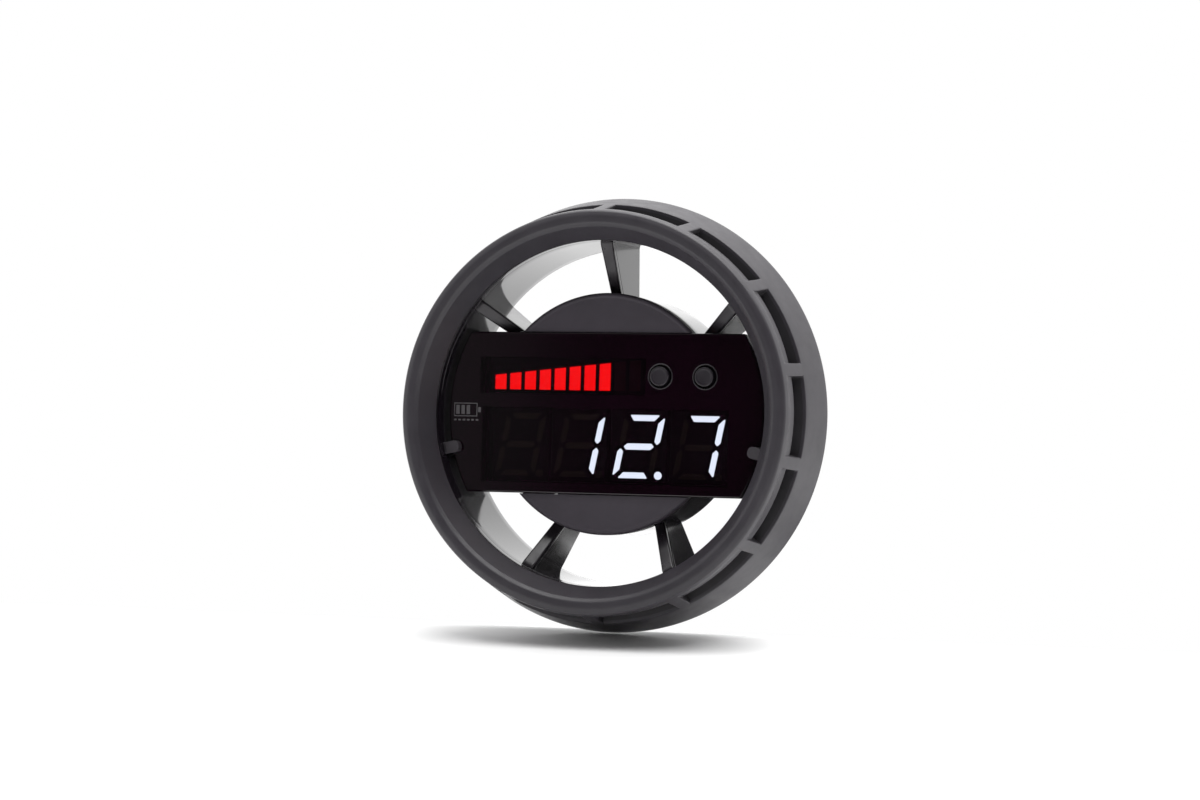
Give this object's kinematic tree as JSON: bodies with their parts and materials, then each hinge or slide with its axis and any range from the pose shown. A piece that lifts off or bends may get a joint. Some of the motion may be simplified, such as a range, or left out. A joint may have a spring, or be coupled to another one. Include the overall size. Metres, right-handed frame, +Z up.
{
  "type": "vent gauge",
  "caption": "Round dashboard air-vent insert with a turning slotted grip ring, radial spokes, a round hub and a smoked display bar with digital readout, bar graph and push buttons.",
  "frame": {"origin": "on the vent's axis, in the plane of the grip ring's rear rim, where the ring meets the dashboard", "axes": "+Z up as fitted in a dashboard; +Y along the vent's axis towards the rear, so the display faces -Y; +X to the right as seen from the front"},
  "size_m": [0.0764, 0.0247, 0.0764],
  "materials": {
    "soft_touch_grey": "soft-touch coat over moulded plastic, fine matt grain",
    "gloss_black": "piano-black moulded plastic",
    "satin_black": "satin moulded plastic",
    "smoked_acrylic": "polished smoked acrylic, nearly opaque",
    "black_foam": "closed-cell foam with adhesive",
    "black_felt": "dense felt",
    "spring_steel": "plain spring steel",
    "zinc_plated": "bright zinc",
    "tinned_pin": "plated brass pin",
    "board_green": "solder mask on fibreglass board",
    "chip_epoxy": "moulded epoxy",
    "led_block_black": "black LED block face",
    "white_nylon": "natural nylon",
    "ceramic_tan": "sintered ceramic"
  },
  "bodies": {
    "vent_core": {"vent_barrel": "gloss_black", "friction_ring": "black_felt", "snap_ring": "spring_steel", "hub_shell": "gloss_black", "hub_cap_upper": "satin_black", "hub_cap_lower": "satin_black", "hub_rear_cover": "satin_black", "lens": "smoked_acrylic", "lens_gasket": "black_foam", "display_frame": "satin_black", "display_board": "board_green", "back_plate": "satin_black", "bar_graph": "led_block_black", "controller_chip": "chip_epoxy", "led_driver_chip": "chip_epoxy", "voltage_regulator": "chip_epoxy", "sense_resistor": "chip_epoxy", "supply_capacitor": "zinc_plated", "ceramic_capacitor": "ceramic_tan", "harness_socket": "white_nylon", "barrel_hook_1": "satin_black", "cover_screw_1": "zinc_plated", "barrel_hook_2": "satin_black", "cover_screw_2": "zinc_plated", "barrel_hook_3": "satin_black", "cover_screw_3": "zinc_plated", "spoke_1": "gloss_black", "spoke_2": "gloss_black", "spoke_3": "gloss_black", "spoke_4": "gloss_black", "spoke_5": "gloss_black", "spoke_6": "gloss_black", "spoke_7": "gloss_black", "digit_1": "led_block_black", "socket_pin_1": "tinned_pin", "digit_2": "led_block_black", "socket_pin_2": "tinned_pin", "digit_3": "led_block_black", "socket_pin_3": "tinned_pin", "digit_4": "led_block_black", "socket_pin_4": "tinned_pin", "plate_screw_1": "zinc_plated", "tact_switch_1": "chip_epoxy", "plate_screw_2": "zinc_plated", "tact_switch_2": "chip_epoxy"},
    "ring": {"grip_ring": "soft_touch_grey"},
    "button_1": {"button_cap_1": "satin_black"},
    "button_2": {"button_cap_2": "satin_black"}
  },
  "joints": [
    {"name": "ring_turn", "type": "hinge", "parent": "vent_core", "child": "ring", "pos_m": [0, 0, 0], "axis": [0, 1, 0], "range_deg": [0, 90]},
    {"name": "button_1_press", "type": "slide", "parent": "vent_core", "child": "button_1", "axis": [0, 1, 0], "range_m": [0, 0.00035], "stiffness_N_per_m": 1500, "springref_m": -0.0004},
    {"name": "button_2_press", "type": "slide", "parent": "vent_core", "child": "button_2", "axis": [0, 1, 0], "range_m": [0, 0.00035], "stiffness_N_per_m": 1500, "springref_m": -0.0004}
  ]
}
